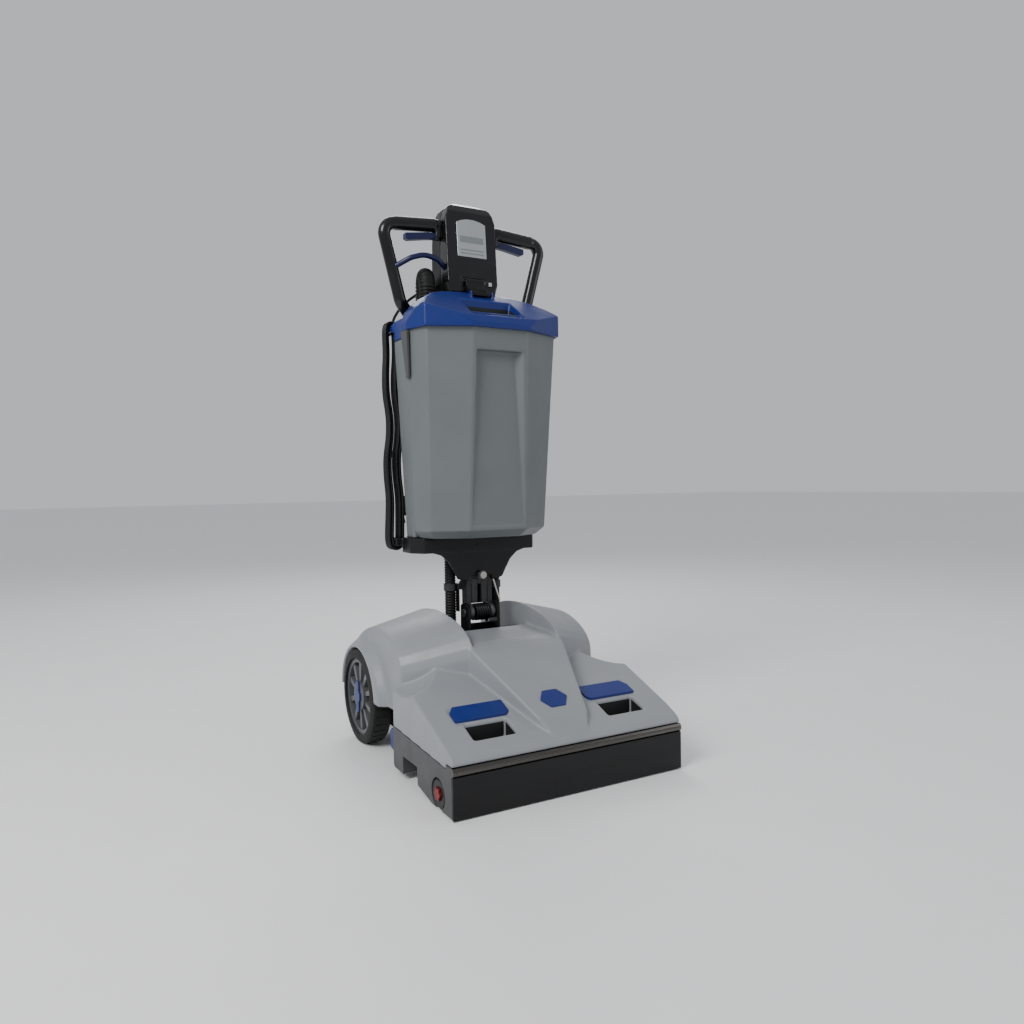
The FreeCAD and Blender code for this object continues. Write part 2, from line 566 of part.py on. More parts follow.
hose_x, hose_y, hose_r = cell("hose_x"), cell("hose_y"), cell("hose_radius")
lower_hoses = []
upper_hoses = []
for side in (-1, 1):
    x = side * hose_x
    lower_hoses.append(corrugated((x, hose_y, 53), (x, hose_y, cell("cuff_low_z")), hose_r, 6))
    upper_hoses.append(corrugated((x, hose_y, cell("cuff_top_z")), (x, hose_y, cell("tray_z")), hose_r, 6))
node("hoses_lower", given("hoses_lower_pair", Part.makeCompound(lower_hoses)))
node("hoses_upper", given("hoses_upper_pair", Part.makeCompound(upper_hoses)))

# ---------------------------------------------------------------- mast: yoke, tray, spine and rear tank
yoke_plate = [(-118, 442), (-98, 436), (-80, 420), (-66, 396), (-58, 380), (-40, 374), (40, 374), (58, 380),
              (66, 396), (80, 420), (98, 436), (118, 442)]
front_plate = less("yoke_front_body", slab("yoke_front_plate", "XZ", yoke_plate, 7, 71.2),
                   rod("yoke_front_hole", "y", "@lean_radius + 0.05", 30, (0, 55, "@lean_z")),
                   block("yoke_notch", (60, 30, 24), (-30, 60, 360)))
rear_plate = less("yoke_rear_body", slab("yoke_rear_plate", "XZ", [(-44, 442), (-36, 374), (36, 374), (44, 442)],
                                         7, 116),
                  rod("yoke_rear_hole", "y", "@lean_radius + 0.05", 30, (0, 100, "@lean_z")))
tray_plan = [(-140, 67), (140, 67), (161, 100), (161, 148), (138, 154), (138, 180), (-138, 180), (-138, 154),
             (-161, 148), (-161, 100)]
tray = slab("tray_plate", "XY", tray_plan, 35, 459.5)
tray_tools = [block("tray_pocket", (300, 60, 22), (-150, 116, 458)),
              rod("tray_hose_hole", "z", 20, 50, ("@suction_rear_x", 175, 430))]
tray_plate = less("tray_body", tray, *tray_tools)
spine = block("spine_bar", ("2 * @spine_half", "@spine_rear_y - @spine_front_y", "@head_bottom_z - @tray_top_z"),
              ("-@spine_half", "@spine_front_y", "@tray_top_z"))
cross_bar = block("cross_bar", (264, 22, 26), (-132, "@spine_front_y - 21", 968))


def tank_ring(z, half_flat, y_flat, half_front, y_front, half_side, y_seam):
    """Cross-section of the front tank at a height: a flat nose, two facets and two sides."""
    right = [V(half_flat, y_flat, z), V(half_front, y_front, z), V(half_side, y_seam - 8, z),
             V(half_side - 1, y_seam, z)]
    return [V(-p.x, p.y, p.z) for p in right[:1]] + right + [V(-p.x, p.y, p.z) for p in reversed(right[1:])]


def seam(z):
    """Depth of the joint between front and rear tank, leaning forward with height."""
    return 90 - cell("seam_lean") * (z - 477)


TANK_LEVELS = [(477, 62, -6, 128, 34, 142), (495, 72, -27, 145, 19, 157), (938, 66, -51, 160, -12, 181)]


def front_tank(inset, low=0, high=0):
    """Tapered front tank; inset moves the walls in, low and high move the floor and the rim."""
    sections = []
    for level, (z, half_flat, y_flat, half_front, y_front, half_side) in enumerate(TANK_LEVELS):
        height = z + (low if level < 2 else high)
        ring = tank_ring(height, half_flat, y_flat, half_front, y_front, half_side, seam(z) - 0.5)
        sections.append([V(p.x * (1 - inset / 150), p.y + inset * (1 if p.y < 40 else -1), p.z) for p in ring])
    return loft(sections)


tank_floor, wall = cell("tray_top_z"), cell("tank_wall")
PANEL_LOW, PANEL_HIGH = 503, 886
nose_lean = (-51 + 27) / (938 - 495)


def nose_y(z):
    """Depth of the tank's flat nose at a height."""
    return -27 + nose_lean * (z - 495)


def panel_tool(grow):
    """Recess in the nose, deep at its top and running out at its foot, with a sloping right-hand wall."""
    rings = []
    for z, half, depth, slant in ((PANEL_LOW - grow, 66, 1.5, 1), (PANEL_HIGH + grow, 58, 17, 15)):
        left, right, face_y = -half - grow, half + grow, nose_y(z)
        rings.append([V(left, face_y - 20, z), V(right, face_y - 20, z), V(right, face_y, z),
                      V(right - slant, face_y + depth + grow, z), V(left + 3, face_y + depth + grow, z),
                      V(left, face_y, z)])
    return loft(rings)


tank_inner = front_tank(wall, wall, 1).cut(panel_tool(wall))
node("recovery_tank", given("front_tank_shell", front_tank(0).cut(panel_tool(0)).cut(tank_inner)))

REAR_TANK_TOP = 922
rear_sections = []
for z, half in ((tank_floor, 154), (REAR_TANK_TOP, 176)):
    rear_sections.append([V(-half, seam(z) + 0.5, z), V(half, seam(z) + 0.5, z), V(half, 135, z),
                          V(half - 16, 150, z), V(-half + 16, 150, z), V(-half, 135, z)])
rear_tank = loft(rear_sections)
rear_inner = []
for z, half in ((tank_floor + 4, 150), (REAR_TANK_TOP - 4, 172)):
    rear_inner.append([V(-half, seam(z) + 4.5, z), V(half, seam(z) + 4.5, z), V(half, 133, z),
                       V(half - 14, 146, z), V(-half + 14, 146, z), V(-half, 133, z)])
filler = Part.makeCylinder(26, 20, V(100, 115, REAR_TANK_TOP - 12))
hose_port = Part.makeCylinder(17, 30, V(cell("suction_x"), 108, REAR_TANK_TOP - 15))
node("solution_tank", given("rear_tank_shell", rear_tank.cut(loft(rear_inner)).cut(filler).cut(hose_port)))
LEDGE_OUTLINE = [(-176, 77.5), (176, 77.5), (176, 136), (162, 152), (-162, 152), (-176, 136)]
ledge = less("ledge_body", slab("ledge_plate", "XY", LEDGE_OUTLINE, 44, 944),
             block("ledge_hollow", (330, 58, 30), (-165, 84, 921)),
             rod("ledge_port", "z", 17, 80, ("@suction_x", 108, 920)))


# ---------------------------------------------------------------- lid of the recovery tank
lid_side = [(-59, 932), (-60, 942), (-51, 959), (0, 992), (55, 1026), (72, 1035), (76.8, 1030), (76.8, 932)]
lid_arch_right = [(0, 1036), (50, 1034), (95, 1027), (125, 1017), (153, 999), (175, 974), (185, 948), (184, 932)]
lid_front = [(-x, z) for x, z in reversed(lid_arch_right[1:])] + lid_arch_right
lid_plan = [(-70, -61), (70, -61), (167, -20), (186, 45), (186, 77), (-186, 77), (-186, 45), (-167, -20)]
lid_block = shared("lid_block", slab("lid_profile", "YZ", lid_side, 380),
                   slab("lid_arch", "XZ", lid_front, 160, 10), slab("lid_outline", "XY", lid_plan, 130, 980))


def carry_cavity(grow):
    """Hand hollow in the lid's front slope, open above; grow adds the wall around it."""
    low, high = 948 - grow, 1030
    ring = [(-62, -46), (62, -46), (56, 26), (-56, 26)]
    return loft([[V(x * (1 + grow / 60), y + grow * (1 if y > 0 else -1), low) for x, y in ring],
                 [V(x * (1.2 + grow / 60), y + grow * (1 if y > 0 else -1), high) for x, y in ring]])


rim_seat = front_tank(-0.6).common(Part.makeBox(500, 300, 30, V(-250, -120, 908)))
dome_rings = []
for z, outline in ((937.5, [(66, -44), (154, -10), (170, 52)]), (998, [(60, 32), (128, 42), (130, 66)])):
    dome_rings.append([V(-x, y, z) for x, y in reversed(outline)] + [V(x, y, z) for x, y in outline])
dome = loft(dome_rings)
lid_hollow = given("lid_hollow", rim_seat)
lid_dome = given("lid_dome", dome.cut(carry_cavity(3)))
carry = given("carry_cavity", carry_cavity(0))
float_hole = rod("float_hole", "z", 14, 30, (-30, 6, 932))
lid_shell = less("lid_shell", less("lid_holed", less("lid_dished", lid_block, carry), float_hole), lid_dome)
lid_shell = less("lid_seated", lid_shell, lid_hollow)
carry_bar = rod("carry_rod", "x", 5, 150, (-75, -24, 966))
node("float_cap", joined("float_plug", rod("float_stem", "z", 13.9, 20, (-30, 6, 932.5)),
                         rod("float_knob", "z", 17, 9, (-30, 6, 948))))
LATCH_OUTLINE = [(39.5, 1021.5), (58, 1031), (71, 1038), (75.5, 1043), (75.5, 1064), (70, 1064), (69, 1051),
                 (58, 1041), (38, 1028)]
latch_plate = slab("latch_plate", "YZ", LATCH_OUTLINE, 46)
latch_pin = rod("latch_pin", "x", 3, 56, (-28, 42, "@latch_z"))
node("lid_latch", joined("latch_body", latch_plate, latch_pin))
latch_ears = [less(f"latch_ear_body_{label}", block(f"latch_ear_{label}", (5, 14, 26), (x, 35, 1006)),
                   rod(f"latch_ear_hole_{label}", "x", 3.05, 20, (x - 5, 42, "@latch_z")))
              for label, x in (("left", -29), ("right", 24))]
node("tank_lid", joined("lid", lid_shell, carry_bar, *latch_ears))

# ---------------------------------------------------------------- side clips over the tank rim


def side_clip():
    """Tapered dark clip on the left of the rim, hung on an upright pin."""
    plate = loft([[V(-186.6, 34, 931), V(-181.2, 34, 931), V(-181.2, 68, 931), V(-186.6, 68, 931)],
                  [V(-179.5, 44, 830), V(-175.2, 44, 830), V(-175.2, 58, 830), V(-179.5, 58, 830)]])
    return given("clip_plate", plate)


left_clip = side_clip()
node("tank_clips", joined("tank_clip_pair", left_clip, mirrored("tank_clip_right", left_clip)))

# ---------------------------------------------------------------- head with its controls
HEAD_FRONT = [(77.5, 1036), (91, 1222), (100, 1238), (126, 1252), (148, 1246), (166, 1215), (172, 1120), (172, 1036)]
head_half = cell("head_half")
arch = [V(-56, 0, 1036), V(-head_half, 0, 1060), V(-head_half, 0, 1205), V(-54, 0, 1233)]
arch_edges = [Part.makeLine(a, b) for a, b in zip(arch, arch[1:])]
arch_edges.append(Part.Arc(arch[-1], V(0, 0, 1252), V(54, 0, 1233)).toShape())
right_arch = [V(54, 0, 1233), V(head_half, 0, 1205), V(head_half, 0, 1060), V(56, 0, 1036), arch[0]]
arch_edges += [Part.makeLine(a, b) for a, b in zip(right_arch, right_arch[1:])]
head_arch = Part.Face(Part.Wire(arch_edges)).extrude(V(0, 400, 0))
head_face = Part.Face(Part.makePolygon([V(-100, y, z) for y, z in HEAD_FRONT + HEAD_FRONT[:1]]))
head_side = head_face.extrude(V(200, 0, 0))
head_solid = head_arch.common(head_side)
head_room = Part.makeBox(104, 62, 150, V(-52, 94, 1062))
split = Part.makeBox(300, 200, 400, V(-150, cell("head_split_y"), 1000))
slot_tool = Part.makeBox(60, 12, 21, V(-30, 72, 1049))
indicator_tool = Part.makeBox(10, 12, 12, V(38, 74, 1054))
head_shell = head_solid.cut(head_room)
head_front = head_shell.cut(split).cut(slot_tool).cut(indicator_tool)
node("head_front", given("head_front_shell", head_front))
HEAD_LEAN = math.degrees(math.atan2(13.5, 186))


def on_head(shape):
    """Moves a piece drawn upright at y = 0 on to the head's leaning front face."""
    shape.rotate(V(0, 0, 1036), V(1, 0, 0), -HEAD_LEAN)
    shape.translate(V(0, 77.5, 0))
    return shape


button_hole = Part.makeCylinder(8.2, 60, V(0, 150, cell("button_z")), V(0, 1, 0))
strain_bore = Part.makeCylinder(7, 40, V(-36, 140, 1080), V(0, 1, 0))
head_rear = head_shell.common(split).cut(button_hole).cut(strain_bore)
node("head_rear", given("head_rear_shell", head_rear))
plate_edges = [Part.makeLine(V(-37, 0, 1119), V(37, 0, 1119)), Part.makeLine(V(37, 0, 1119), V(37, 0, 1198)),
               Part.Arc(V(37, 0, 1198), V(0, 0, 1207), V(-37, 0, 1198)).toShape(),
               Part.makeLine(V(-37, 0, 1198), V(-37, 0, 1119))]
label_sheet = Part.Face(Part.Wire(plate_edges)).extrude(V(0, -1.5, 0))
node("label_plate", given("label_plate_sheet", on_head(label_sheet)))
slot_fill = Part.makeBox(60, 9, 21, V(-30, 80, 1049)).cut(Part.makeBox(50, 3, 13, V(-25, 79, 1053)))
window_glass = slot_fill.cut(head_front)
lenses = Part.makeCompound([window_glass, indicator_tool.common(head_solid)])
node("status_window", given("status_lenses", lenses))
node("power_button", joined("power_button_body", rod("button_cap", "y", 8, 14, (0, 159, "@button_z")),
                            rod("button_flange", "y", 10, 2, (0, 153, "@button_z"))))

# ---------------------------------------------------------------- handles


def handle_loop():
    """Left D-shaped loop: from the head out, down the side and back to the cross bar."""
    route = [(-head_half - 0.1, loop_y, grip_z - 10), (-206, loop_y + 2, 1181), (-162, loop_y + 8, 1010),
             (-130, cell("bar_y"), 981)]
    return tube(route, cell("loop_radius"), [24, 24])[0]


loop_y, grip_z = cell("loop_y"), cell("grip_z")
left_loop = given("loop_bar", handle_loop())
grip_bar, _ = tube([(-78, loop_y, grip_z - 11.2), (-176, loop_y + 1.6, 1183.4)], cell("grip_radius"), [])
grip = given("grip_sleeve", grip_bar)
trigger_ears = [block(f"trigger_ear_{label}", (16, 4, 30), (-80, depth, 1160))
                for label, depth in (("front", "@loop_y - 12.2"), ("rear", "@loop_y + 8.2"))]
pin = rod("trigger_pin", "y", 2.5, 24, (-72, "@loop_y - 12", 1166))
left_handle = joined("left_handle", left_loop, grip, pin, *trigger_ears)
bar_end = block("bar_end", (90, 60, 60), (-132, "@bar_y - 30", 950))
head_side_block = block("head_side_block", ("2 * @head_half", 100, 80), ("-@head_half", "@loop_y - 50", 1150))
both_sides("handle", less("left_handle_trimmed", left_handle, bar_end, head_side_block))
TRIGGER_OUTLINE = [(-78, 1172), (-78, 1159), (-100, 1156), (-146, 1148), (-153, 1151), (-153, 1163.5), (-100, 1171)]
trigger_bar = slab("trigger_bar", "XZ", TRIGGER_OUTLINE, 16, "@loop_y")
trigger_hub = rod("trigger_hub", "y", 5.5, 16, (-72, "@loop_y - 8", 1166))
trigger = less("trigger_body", joined("trigger_pair", trigger_bar, trigger_hub),
               rod("trigger_bore", "y", 2.55, 40, (-72, "@loop_y - 20", 1166)))
both_sides("trigger", trigger)
arc_bar, _ = tube([(-58, 102, 1090), (-84, 90, 1106), (-117, 86, 1113), (-148, 92, 1104), (-178, 116, 1086)],
                  6, [30, 50, 30])
node("hose_arc", given("hose_arc_bar", arc_bar.cut(left_loop.Shape).cut(head_solid)))

# ---------------------------------------------------------------- suction hose behind the tanks
SUCTION_Y, SUCTION_REAR_Y = 108, 175
port_x, drop_x, crown_z = cell("suction_x"), cell("suction_rear_x"), cell("suction_top_z")
suction_bend = math.hypot(drop_x - port_x, SUCTION_REAR_Y - SUCTION_Y) / 2 - 0.1
suction, _ = tube([(port_x, SUCTION_Y, 1012), (port_x, SUCTION_Y, crown_z), (drop_x, SUCTION_REAR_Y, crown_z),
                   (drop_x, SUCTION_REAR_Y, 495)], cell("suction_radius"), [suction_bend, suction_bend])
node("suction_hose", given("suction_hose_body", suction))
node("suction_cuffs", joined("cuff_pair", rod("cuff_collar", "z", 21.5, 46, ("@suction_x", SUCTION_Y, 966)),
                             rod("cuff_spigot", "z", 16.8, 30, ("@suction_x", SUCTION_Y, 936)),
                             rod("elbow_collar", "z", 23, 18, ("@suction_rear_x", SUCTION_REAR_Y, 477)),
                             rod("elbow_spigot", "z", 19.5, 30, ("@suction_rear_x", SUCTION_REAR_Y, 447))))

# ---------------------------------------------------------------- mains cord, hooks and plug


HOOK_X, HANK_FRONT, HANK_REAR = cell("hook_x"), 157.3, 190


def hook(label, z, arm):
    """Peg that points rearward, with a retaining disc at its end and an arm to the mast."""
    return joined(f"hook_{label}", arm, rod(f"peg_{label}", "y", 5.5, 45, ("@hook_x", 150, z)),
                  rod(f"peg_disc_{label}", "y", 12, 4, ("@hook_x", HANK_REAR + 0.5, z)))


hook_top = hook("top", "@hook_top_z", block("hook_top_arm", (18, 24, 16), (-178, 128, "@hook_top_z - 8")))
node("solution_lid", joined("solution_lid_body", ledge, hook_top))
hook_low = hook("low", "@hook_low_z", block("hook_low_arm", (30, 14, 16), (-178, 142, 458)))
node("spine", joined("spine_body", spine, cross_bar))
node("tray_yoke", joined("tray_yoke_body", tray_plate, front_plate, rear_plate, hook_low))


def hank_outline(radius):
    """Face of the stadium shape that winds round both pegs."""
    low, high = cell("hook_low_z"), cell("hook_top_z")
    left, right = V(-radius, 0, 0), V(radius, 0, 0)
    base = V(HOOK_X, HANK_FRONT, 0)
    up, down = V(0, 0, high), V(0, 0, low)
    edges = [Part.makeLine(base + left + down, base + left + up),
             Part.Arc(base + left + up, base + up + V(0, 0, radius), base + right + up).toShape(),
             Part.makeLine(base + right + up, base + right + down),
             Part.Arc(base + right + down, base + down - V(0, 0, radius), base + left + down).toShape()]
    return Part.Face(Part.Wire(edges))


hank_ring = hank_outline(20).cut(hank_outline(6)).extrude(V(0, HANK_REAR - HANK_FRONT, 0))
node("cord_hank", given("cord_hank_body", hank_ring))


def largest_bends(points):
    """Arc radius at each corner of a cord's route: 0.45 of the shorter run over the tangent of half the turn."""
    points = [V(*point) for point in points]
    radii = []
    for before, corner, after in zip(points, points[1:], points[2:]):
        turn = (corner - before).getAngle(after - corner)
        radii.append(0.45 * min((corner - before).Length, (after - corner).Length) / math.tan(turn / 2))
    return radii


RELIEF_END = (-36, 206, 1080)
LEAD_ROUTE = [RELIEF_END, (-42, 240, 1078), (-72, 258, 1062), (-110, 254, 1030), (-140, 234, 992),
              (-154, 208, 956), (-157, 190, 934)]
TAIL_ROUTE = [(-158, 190, 660), (-156, 206, 646), (-148, 216, 624), (-138, 218, 598), (-133, 214, 570)]
cord_radius = cell("cord_dia") / 2
cords = []
for route in (LEAD_ROUTE, TAIL_ROUTE):
    bends = largest_bends(route)
    cord, length = tube(route, cord_radius, bends)
    print("cord run", round(length, 1), "mm, tightest bend", round(min(bends), 1), "mm, volume ratio",
          round(cord.Volume / (math.pi * cord_radius ** 2 * length), 4))
    cords.append(cord.common(Part.makeBox(400, 200, 900, V(-300, HANK_REAR, 400))))
node("mains_cord", given("mains_cord_tube", Part.makeCompound(cords)))
relief = Part.makeCone(6.5, cord_radius + 1, 34, V(-36, 172, 1080), V(0, 1, 0))
relief = relief.fuse(Part.makeCylinder(6.9, 12, V(-36, 160, 1080), V(0, 1, 0)))
node("strain_relief", given("strain_relief_body", relief))
plug_end = V(*TAIL_ROUTE[-1])
plug_way = (plug_end - V(*TAIL_ROUTE[-2])).normalize()
plug_body = Part.makeCone(8, 18, 46, plug_end, plug_way)
plug_pins = [Part.makeCylinder(2.4, 19, plug_end + plug_way * 46 + V(x, 0, 0), plug_way) for x in (-9.5, 9.5)]
node("plug", given("plug_body", plug_body.fuse(Part.makeCompound(plug_pins))))

doc.recompute()
broken = [item.Name for item in doc.Objects if "Invalid" in item.State or "Error" in item.State]
for name, piece in NODES.items():
    shape = piece.Shape
    if shape.isNull() or not shape.isValid() or not shape.Solids:
        broken.append(name)
if broken:
    raise RuntimeError("broken: " + ", ".join(broken))
os.makedirs("parts", exist_ok=True)
for name, piece in NODES.items():
    piece.Shape.exportStep(f"parts/{name}.step")
print(len(NODES), "nodes")
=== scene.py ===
"""Looks of the wet dry floor scrubber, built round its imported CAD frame. Lengths are in metres."""
import json
import math
import random

import bpy
from mathutils import Matrix, Quaternion, Vector


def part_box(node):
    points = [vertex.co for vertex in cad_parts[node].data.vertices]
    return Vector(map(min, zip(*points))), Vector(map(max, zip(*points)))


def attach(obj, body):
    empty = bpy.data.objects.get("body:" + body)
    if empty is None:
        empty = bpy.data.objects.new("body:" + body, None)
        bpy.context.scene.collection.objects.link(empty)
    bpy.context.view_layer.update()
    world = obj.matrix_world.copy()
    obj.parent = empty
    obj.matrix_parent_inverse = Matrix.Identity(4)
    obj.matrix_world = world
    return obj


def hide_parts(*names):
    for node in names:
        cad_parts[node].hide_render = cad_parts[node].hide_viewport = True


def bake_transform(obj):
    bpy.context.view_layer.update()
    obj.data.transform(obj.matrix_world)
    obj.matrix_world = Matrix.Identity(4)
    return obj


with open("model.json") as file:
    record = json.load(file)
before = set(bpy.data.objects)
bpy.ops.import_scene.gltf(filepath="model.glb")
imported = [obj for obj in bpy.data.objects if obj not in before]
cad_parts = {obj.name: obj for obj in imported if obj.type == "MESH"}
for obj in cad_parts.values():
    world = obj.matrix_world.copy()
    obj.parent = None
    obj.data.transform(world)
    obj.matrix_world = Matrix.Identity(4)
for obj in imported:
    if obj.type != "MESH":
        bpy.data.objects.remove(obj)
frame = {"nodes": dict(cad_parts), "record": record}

random.seed(7)
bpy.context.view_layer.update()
scene = bpy.context.scene

# ---------------------------------------------------------------- camera, as the photograph was taken
AZIMUTH, PITCH, ROLL = math.radians(-29.2), math.radians(2.0), math.radians(-0.9)
EYE = Vector((-0.8486, -1.6039, 0.5963))
SENSOR, LENS = 36.0, 28.46

ahead = Vector((-math.sin(AZIMUTH) * math.cos(PITCH), math.cos(AZIMUTH) * math.cos(PITCH), -math.sin(PITCH)))
across = Vector((math.cos(AZIMUTH), math.sin(AZIMUTH), 0))
upward = across.cross(ahead)
right = across * math.cos(ROLL) + upward * math.sin(ROLL)
upright = upward * math.cos(ROLL) - across * math.sin(ROLL)
camera_data = bpy.data.cameras.new("camera")
camera_data.sensor_width = SENSOR
camera_data.lens = LENS
camera = bpy.data.objects.new("camera", camera_data)
camera.matrix_world = Matrix.Translation(EYE) @ Matrix((right, upright, -ahead)).transposed().to_4x4()
scene.collection.objects.link(camera)
scene.camera = camera


# ---------------------------------------------------------------- small helpers
def add(name, mesh):
    piece = bpy.data.objects.new(name, mesh)
    scene.collection.objects.link(piece)
    return piece


def mesh_from(name, points, faces, smooth=True):
    mesh = bpy.data.meshes.new(name)
    mesh.from_pydata([tuple(point) for point in points], [], faces)
    mesh.polygons.foreach_set("use_smooth", [smooth] * len(mesh.polygons))
    mesh.update()
    return add(name, mesh)


def modifier(piece, kind, **settings):
    added = piece.modifiers.new(kind.lower(), kind)
    for key, value in settings.items():
        setattr(added, key, value)
    return added


# ---------------------------------------------------------------- materials
def link(tree, source, target):
    tree.links.new(source, target)


def finish_of(name, colour, rough=0.45, metal=0.0, spread=0.12, grain=900.0, bump=0.05, coat=0.0,
              scratch=0.0, dust=0.0, stretch=(1, 1, 1)):
    """Cloudy colour, fine grain in the bump, patchy roughness, fine scratches and dust on top faces."""
    material = bpy.data.materials.new(name)
    material.use_nodes = True
    tree = material.node_tree
    nodes = tree.nodes
    shader = nodes["Principled BSDF"]
    shader.inputs["Metallic"].default_value = metal
    shader.inputs["Coat Weight"].default_value = coat
    shader.inputs["Coat Roughness"].default_value = 0.15
    shader.inputs["Specular IOR Level"].default_value = 0.28 if max(colour) < 0.02 else 0.42
    place = nodes.new("ShaderNodeTexCoord")
    scale = nodes.new("ShaderNodeMapping")
    scale.inputs["Scale"].default_value = stretch
    link(tree, place.outputs["Object"], scale.inputs["Vector"])

    def noise(size, detail=4.0, warp=0.0):
        texture = nodes.new("ShaderNodeTexNoise")
        texture.inputs["Scale"].default_value = size
        texture.inputs["Detail"].default_value = detail
        texture.inputs["Distortion"].default_value = warp
        link(tree, scale.outputs["Vector"], texture.inputs["Vector"])
        return texture.outputs["Fac"]

    def ramp(source, low, high, start=0.3, end=0.7):
        stops = nodes.new("ShaderNodeValToRGB")
        stops.color_ramp.elements[0].position = start
        stops.color_ramp.elements[1].position = end
        stops.color_ramp.elements[0].color = low
        stops.color_ramp.elements[1].color = high
        link(tree, source, stops.inputs["Fac"])
        return stops.outputs["Color"]

    def mixed(amount, first, second):
        mix = nodes.new("ShaderNodeMix")
        mix.data_type = "RGBA"
        link(tree, amount, mix.inputs["Factor"])
        link(tree, first, mix.inputs["A"])
        mix.inputs["B"].default_value = second
        return mix.outputs["Result"]

    dark = tuple(c * (1 - spread) for c in colour) + (1,)
    light = tuple(min(1, c * (1 + spread)) for c in colour) + (1,)
    shade = ramp(noise(7.0, 5.0, 0.4), dark, light)
    if scratch:
        marks = nodes.new("ShaderNodeMath")
        marks.operation = "MULTIPLY"
        marks.inputs[1].default_value = scratch
        thin = ramp(noise(160.0, 2.0, 2.5), (0, 0, 0, 1), (1, 1, 1, 1), 0.66, 0.72)
        link(tree, thin, marks.inputs[0])
        shade = mixed(marks.outputs["Value"], shade, tuple(min(1, c * 1.8 + 0.05) for c in colour) + (1,))
    if dust:
        facing = nodes.new("ShaderNodeNewGeometry")
        split = nodes.new("ShaderNodeSeparateXYZ")
        link(tree, facing.outputs["Normal"], split.inputs["Vector"])
        settled = nodes.new("ShaderNodeMath")
        settled.operation = "MULTIPLY"
        settled.use_clamp = True
        link(tree, split.outputs["Z"], settled.inputs[0])
        patchy = nodes.new("ShaderNodeMath")
        patchy.operation = "MULTIPLY"
        patchy.inputs[1].default_value = dust
        link(tree, noise(38.0, 6.0), patchy.inputs[0])
        link(tree, patchy.outputs["Value"], settled.inputs[1])
        shade = mixed(settled.outputs["Value"], shade, (0.42, 0.40, 0.37, 1))
    link(tree, shade, shader.inputs["Base Color"])
    wear = nodes.new("ShaderNodeMapRange")
    wear.inputs["From Min"].default_value = 0.3
    wear.inputs["From Max"].default_value = 0.7
    wear.inputs["To Min"].default_value = max(0.03, rough - 0.07)
    wear.inputs["To Max"].default_value = min(1.0, rough + 0.09)
    link(tree, noise(22.0, 5.0), wear.inputs["Value"])
    link(tree, wear.outputs["Result"], shader.inputs["Roughness"])
    relief = nodes.new("ShaderNodeBump")
    relief.inputs["Strength"].default_value = bump
    relief.inputs["Distance"].default_value = 0.0006
    link(tree, noise(grain, 3.0), relief.inputs["Height"])
    link(tree, relief.outputs["Normal"], shader.inputs["Normal"])
    return material


